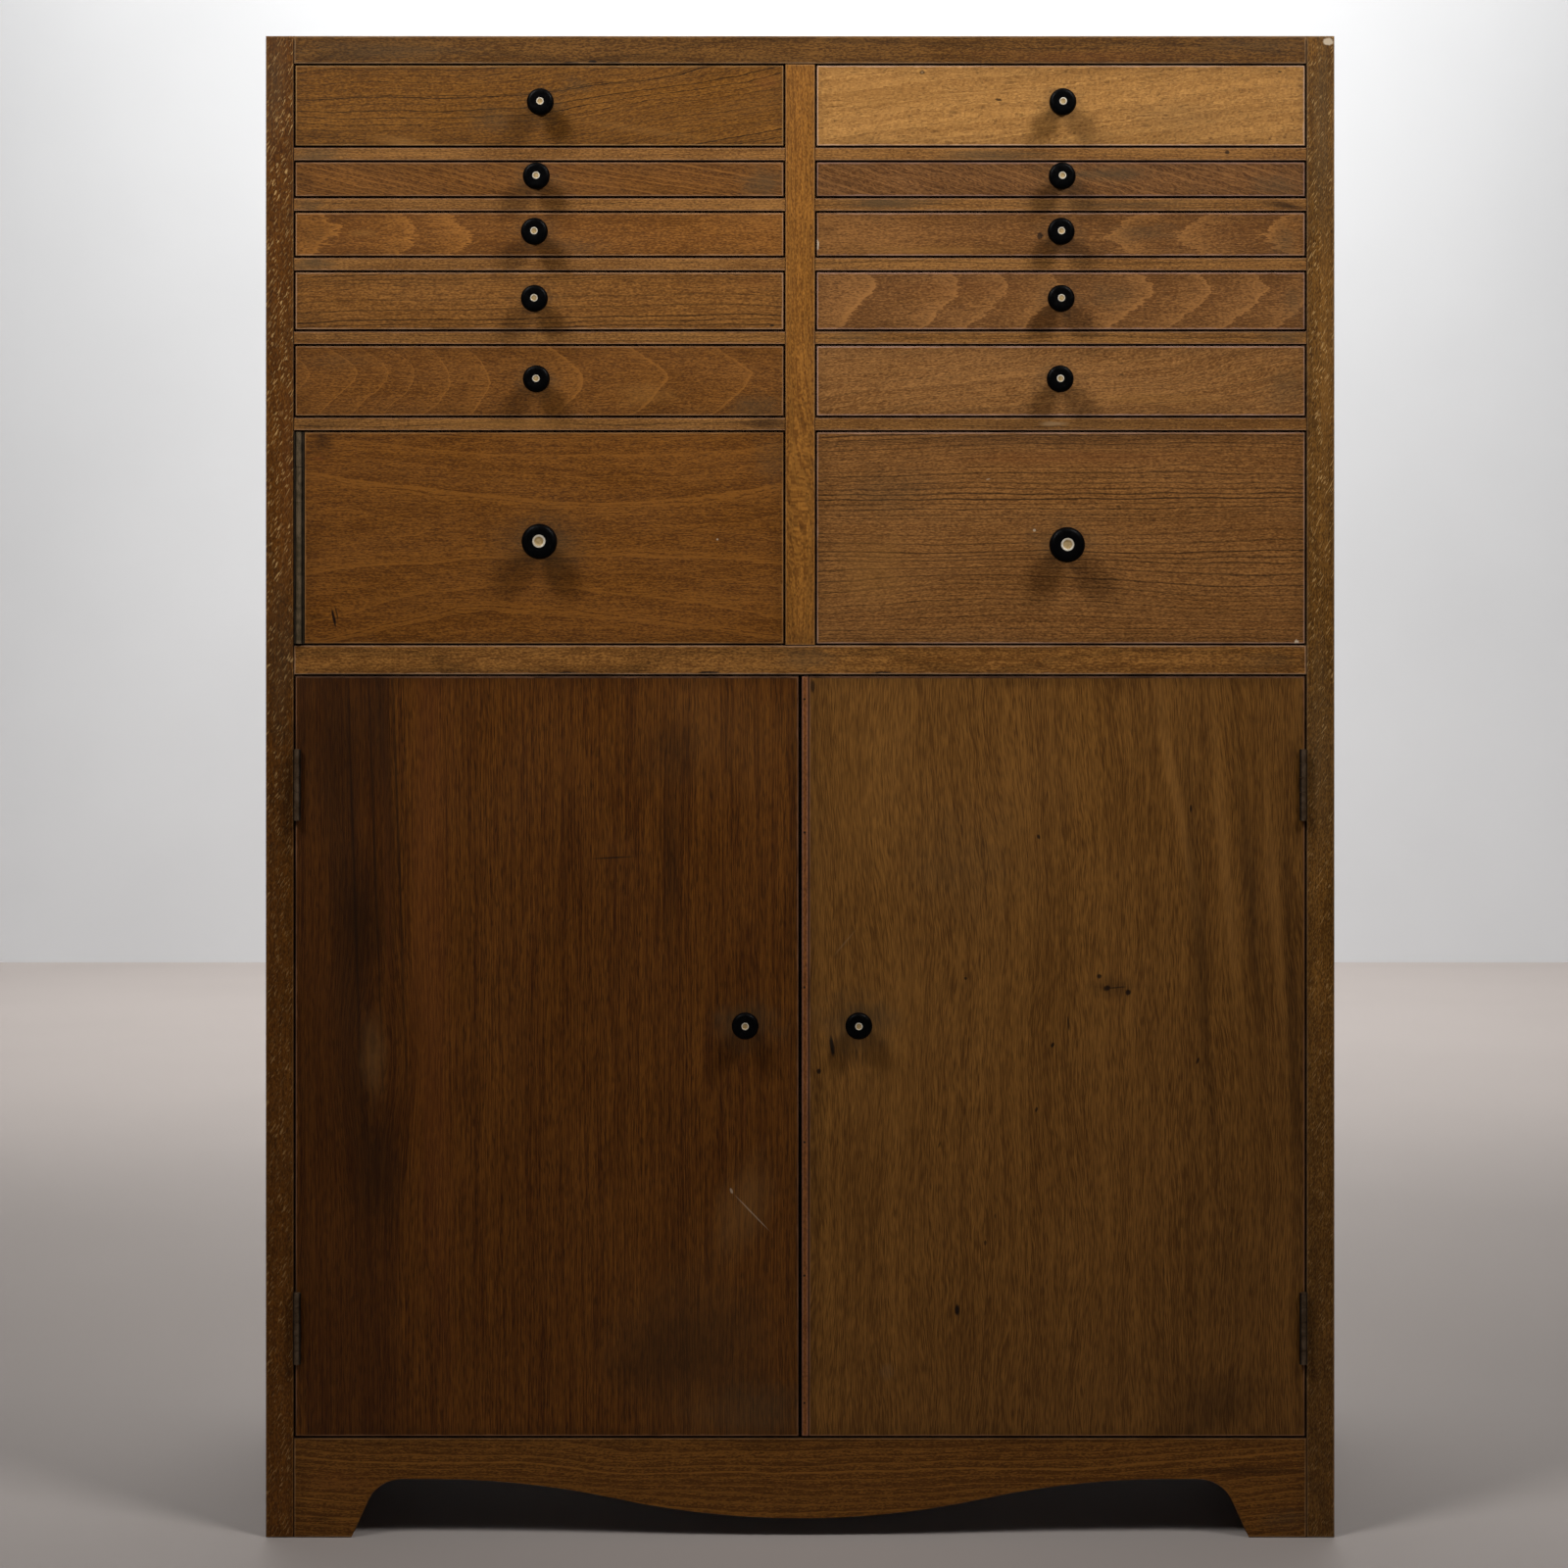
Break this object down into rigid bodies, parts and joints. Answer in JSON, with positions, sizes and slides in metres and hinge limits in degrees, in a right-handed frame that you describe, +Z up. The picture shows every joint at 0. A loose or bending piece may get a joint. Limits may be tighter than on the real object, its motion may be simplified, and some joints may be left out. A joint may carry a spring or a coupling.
{
  "type": "haberdashery cabinet",
  "caption": "Tall wooden haberdashery cabinet: banks of shallow drawers, a deep drawer beside a small hinged door, and a cupboard with paired doors above a shaped apron with bracket feet.",
  "frame": {"origin": "on the floor, under the middle of the whole object's box, knobs and hinges included", "axes": "+X to the right as seen from the front, +Y from front to back, +Z up"},
  "size_m": [0.762, 0.402, 1.0705],
  "materials": {
    "side_beech": "satin oiled beech, worn at the edges",
    "case_beech": "satin oiled beech",
    "front_beech": "satin oiled beech, dark at the edges",
    "pale_beech": "satin oiled beech, paler than the rest",
    "left_door_veneer": "satin dark red-brown veneer with upright grain",
    "right_door_veneer": "satin olive-brown veneer with upright grain",
    "strip_wood": "satin hardwood lipping",
    "drawer_wood": "plain sanded softwood",
    "carcass_wood": "plain sanded softwood",
    "back_ply": "plain plywood",
    "knob_black": "glossy black plastic",
    "hinge_steel": "dull brown tarnished steel",
    "catch_brass": "dull brass"
  },
  "bodies": {
    "case": {"left_side": "side_beech", "right_side": "side_beech", "top_board": "case_beech", "centre_divider": "case_beech", "middle_board": "case_beech", "bottom_board": "carcass_wood", "apron": "case_beech", "glue_blocks": "carcass_wood", "back_panel": "back_ply", "drawer_rails": "case_beech", "drawer_runners": "carcass_wood", "cupboard_shelf": "carcass_wood", "shelf_battens": "carcass_wood", "frame_hinge_leaves": "hinge_steel", "piano_hinge_frame_leaf": "hinge_steel", "hinge_pins": "hinge_steel", "bullet_catches": "catch_brass"},
    "left_drawer_1_body": {"left_drawer_1_front": "front_beech", "left_drawer_1_box": "drawer_wood", "left_drawer_1_knob": "knob_black"},
    "left_drawer_2_body": {"left_drawer_2_front": "front_beech", "left_drawer_2_box": "drawer_wood", "left_drawer_2_knob": "knob_black"},
    "left_drawer_3_body": {"left_drawer_3_front": "front_beech", "left_drawer_3_box": "drawer_wood", "left_drawer_3_knob": "knob_black"},
    "left_drawer_4_body": {"left_drawer_4_front": "front_beech", "left_drawer_4_box": "drawer_wood", "left_drawer_4_knob": "knob_black"},
    "left_drawer_5_body": {"left_drawer_5_front": "front_beech", "left_drawer_5_box": "drawer_wood", "left_drawer_5_knob": "knob_black"},
    "right_drawer_1_body": {"right_drawer_1_front": "pale_beech", "right_drawer_1_box": "drawer_wood", "right_drawer_1_knob": "knob_black"},
    "right_drawer_2_body": {"right_drawer_2_front": "front_beech", "right_drawer_2_box": "drawer_wood", "right_drawer_2_knob": "knob_black"},
    "right_drawer_3_body": {"right_drawer_3_front": "front_beech", "right_drawer_3_box": "drawer_wood", "right_drawer_3_knob": "knob_black"},
    "right_drawer_4_body": {"right_drawer_4_front": "front_beech", "right_drawer_4_box": "drawer_wood", "right_drawer_4_knob": "knob_black"},
    "right_drawer_5_body": {"right_drawer_5_front": "front_beech", "right_drawer_5_box": "drawer_wood", "right_drawer_5_knob": "knob_black"},
    "right_drawer_6_body": {"right_drawer_6_front": "front_beech", "right_drawer_6_box": "drawer_wood", "right_drawer_6_knob": "knob_black"},
    "left_door_body": {"left_door": "left_door_veneer", "left_door_hinge_leaves": "hinge_steel", "left_door_knob": "knob_black"},
    "right_door_body": {"right_door": "right_door_veneer", "right_door_hinge_leaves": "hinge_steel", "right_door_knob": "knob_black", "meeting_strip": "strip_wood"},
    "small_door_body": {"small_door": "front_beech", "small_door_hinge_leaf": "hinge_steel", "small_door_knob": "knob_black"}
  },
  "joints": [
    {"name": "left_drawer_1_slide", "type": "slide", "parent": "case", "child": "left_drawer_1_body", "axis": [0, -1, 0], "range_m": [0, 0.25]},
    {"name": "left_drawer_2_slide", "type": "slide", "parent": "case", "child": "left_drawer_2_body", "axis": [0, -1, 0], "range_m": [0, 0.25]},
    {"name": "left_drawer_3_slide", "type": "slide", "parent": "case", "child": "left_drawer_3_body", "axis": [0, -1, 0], "range_m": [0, 0.25]},
    {"name": "left_drawer_4_slide", "type": "slide", "parent": "case", "child": "left_drawer_4_body", "axis": [0, -1, 0], "range_m": [0, 0.25]},
    {"name": "left_drawer_5_slide", "type": "slide", "parent": "case", "child": "left_drawer_5_body", "axis": [0, -1, 0], "range_m": [0, 0.25]},
    {"name": "right_drawer_1_slide", "type": "slide", "parent": "case", "child": "right_drawer_1_body", "axis": [0, -1, 0], "range_m": [0, 0.25]},
    {"name": "right_drawer_2_slide", "type": "slide", "parent": "case", "child": "right_drawer_2_body", "axis": [0, -1, 0], "range_m": [0, 0.25]},
    {"name": "right_drawer_3_slide", "type": "slide", "parent": "case", "child": "right_drawer_3_body", "axis": [0, -1, 0], "range_m": [0, 0.25]},
    {"name": "right_drawer_4_slide", "type": "slide", "parent": "case", "child": "right_drawer_4_body", "axis": [0, -1, 0], "range_m": [0, 0.25]},
    {"name": "right_drawer_5_slide", "type": "slide", "parent": "case", "child": "right_drawer_5_body", "axis": [0, -1, 0], "range_m": [0, 0.25]},
    {"name": "right_drawer_6_slide", "type": "slide", "parent": "case", "child": "right_drawer_6_body", "axis": [0, -1, 0], "range_m": [0, 0.25]},
    {"name": "left_door_hinge", "type": "hinge", "parent": "case", "child": "left_door_body", "pos_m": [-0.3582, -0.1831, 0.343], "axis": [0, 0, -1], "range_deg": [0, 170]},
    {"name": "right_door_hinge", "type": "hinge", "parent": "case", "child": "right_door_body", "pos_m": [0.3582, -0.1831, 0.343], "axis": [0, 0, 1], "range_deg": [0, 170]},
    {"name": "small_door_hinge", "type": "hinge", "parent": "case", "child": "small_door_body", "pos_m": [-0.3573, -0.18, 0.7125], "axis": [0, 0, -1], "range_deg": [0, 165]}
  ]
}
